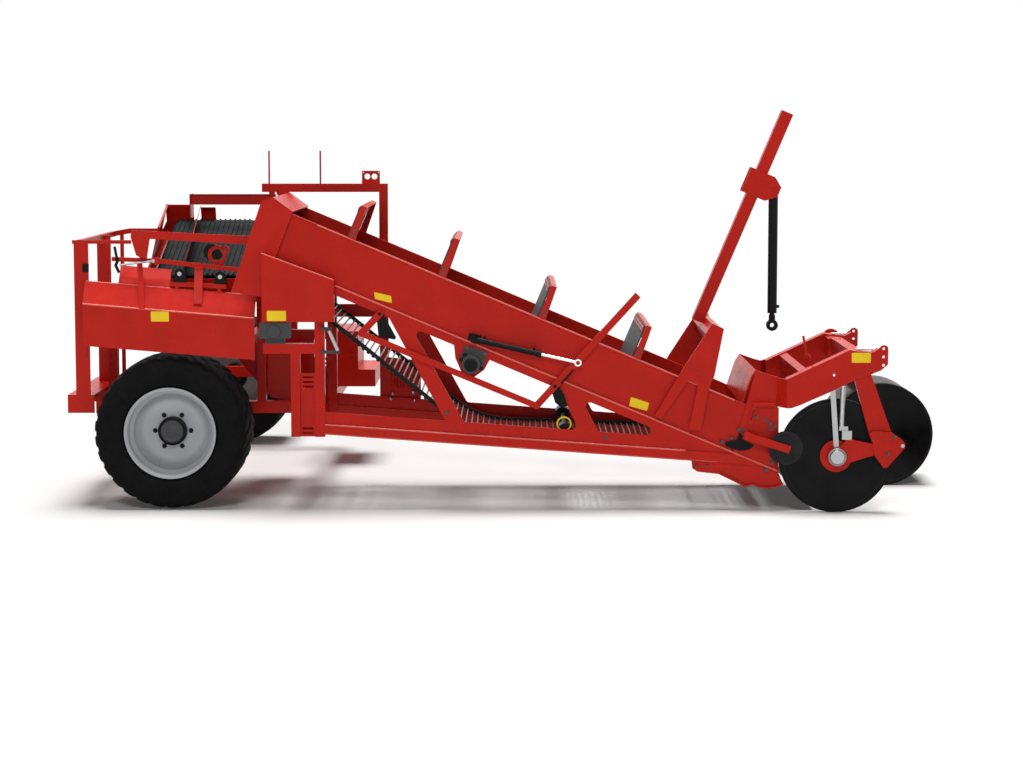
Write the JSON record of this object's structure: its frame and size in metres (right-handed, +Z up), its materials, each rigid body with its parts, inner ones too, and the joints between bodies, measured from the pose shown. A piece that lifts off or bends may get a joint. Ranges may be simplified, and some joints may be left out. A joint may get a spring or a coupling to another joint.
{
  "type": "trailed potato harvester",
  "caption": "Trailed potato harvester with a digging head, a long sieve-web elevator with flap bridges, a lift mast and a rear sorting table and walkway, on two wide tyres.",
  "frame": {"origin": "on the ground under the middle of the machine's outline", "axes": "+X is the travel direction, +Y the machine's left, +Z up"},
  "size_m": [5.913, 3.436, 2.6326],
  "materials": {
    "red_paint": "gloss",
    "black_rubber": "matt",
    "tyre": "matt",
    "rim_paint": "satin",
    "black_paint": "satin",
    "bright_steel": "polished",
    "worn_steel": "brushed",
    "grey_rubber": "matt",
    "grey_cast": "cast"
  },
  "bodies": {
    "wheel_right": {"tyre_right": "tyre", "rim_right": "rim_paint", "hub_right": "black_paint"},
    "wheel_left": {"tyre_left": "tyre", "rim_left": "rim_paint", "hub_left": "black_paint"},
    "coulter": {"coulter_disc": "black_paint"},
    "trash": {"trash_disc": "black_paint"},
    "drum": {"depth_drum": "black_paint"},
    "lever": {"agitator_lever": "red_paint", "lever_strut": "black_paint"},
    "long_link": {"link_bar": "red_paint"},
    "short_link": {"rear_link": "red_paint"},
    "lever_tube": {"lever_barrel": "black_paint"},
    "lever_piston": {"lever_rod": "bright_steel"},
    "lift_tube": {"lift_barrel": "black_paint"},
    "lift_piston": {"lift_rod": "black_paint"},
    "frame": {"axle_beam": "red_paint", "bright_pins": "bright_steel", "chassis": "red_paint", "chute": "red_paint", "conveyor_belt": "black_rubber", "conveyor_frame": "red_paint", "crank": "red_paint", "depth_spindle": "bright_steel", "digging_share": "worn_steel", "disc_arm": "red_paint", "disc_mounts": "red_paint", "drive_motors": "grey_cast", "drum_arm": "red_paint", "elevator_wall_left": "red_paint", "elevator_wall_right": "red_paint", "flap_bridges": "red_paint", "gantry": "red_paint", "head_frame": "red_paint", "head_side_plates": "red_paint", "hood": "red_paint", "link_bearings": "black_paint", "mast": "red_paint", "mast_clamp": "red_paint", "mast_tower": "red_paint", "oil_tank": "red_paint", "pillow_blocks": "black_paint", "platform": "red_paint", "railing": "red_paint", "rear_columns": "red_paint", "rollers": "worn_steel", "rubber_flaps": "grey_rubber", "side_bars": "red_paint", "side_frame_left": "red_paint", "side_frame_right": "red_paint", "side_scrapers": "black_paint", "sieve_web": "black_rubber", "skids": "red_paint", "sorting_table": "red_paint", "table_frame": "red_paint"}
  },
  "joints": [
    {"name": "wheel_right_spin", "type": "hinge", "parent": "frame", "child": "wheel_right", "pos_m": [-2.2595, -1.332, 0.511], "axis": [0, 1, 0], "continuous": true},
    {"name": "wheel_left_spin", "type": "hinge", "parent": "frame", "child": "wheel_left", "pos_m": [-2.2595, 1.468, 0.511], "axis": [0, 1, 0], "continuous": true},
    {"name": "coulter_spin", "type": "hinge", "parent": "frame", "child": "coulter", "pos_m": [2.1105, -1.632, 0.375], "axis": [0, 1, 0], "continuous": true},
    {"name": "trash_disc_spin", "type": "hinge", "parent": "frame", "child": "trash", "pos_m": [1.7835, -1.639, 0.426], "axis": [0, 1, 0], "continuous": true},
    {"name": "drum_spin", "type": "hinge", "parent": "frame", "child": "drum", "pos_m": [2.5945, -0.377, 0.362], "axis": [0, 1, 0], "continuous": true},
    {"name": "lever_swing", "type": "hinge", "parent": "frame", "child": "lever", "pos_m": [0.2725, -1.617, 0.826], "axis": [0, 1, 0], "range_deg": [-12, 4]},
    {"name": "long_link_pivot", "type": "hinge", "parent": "lever", "child": "long_link", "pos_m": [0.1525, -1.617, 0.699], "axis": [0, 1, 0], "range_deg": [-4.5, 12.5]},
    {"name": "short_link_swing", "type": "hinge", "parent": "frame", "child": "short_link", "pos_m": [-0.8735, -1.617, 1.303], "axis": [0, 1, 0], "range_deg": [-12.5, 4.5]},
    {"name": "lever_tube_swing", "type": "hinge", "parent": "frame", "child": "lever_tube", "pos_m": [-0.2595, -1.617, 1.14], "axis": [0, 1, 0], "range_deg": [-2.19, 0.93]},
    {"name": "lever_piston_slide", "type": "slide", "parent": "lever_tube", "child": "lever_piston", "axis": [0.9751, 0, -0.2219], "range_m": [-0.0404, 0.01413]},
    {"name": "lift_tube_swing", "type": "hinge", "parent": "frame", "child": "lift_tube", "pos_m": [1.7545, -1.082, 2.1], "axis": [0, -1, 0], "range_deg": [-5, 60]},
    {"name": "lift_piston_slide", "type": "slide", "parent": "lift_tube", "child": "lift_piston", "axis": [0, 0, -1], "range_m": [0, 0.4]}
  ],
  "couplings": [
    {"joint": "long_link_pivot", "follows": "lever_swing", "ratio": -1},
    {"joint": "short_link_swing", "follows": "lever_swing", "ratio": 1},
    {"joint": "lever_tube_swing", "follows": "lever_swing", "ratio": 0.1575},
    {"joint": "lever_piston_slide", "follows": "lever_swing", "m_per_rad": 0.1881}
  ]
}
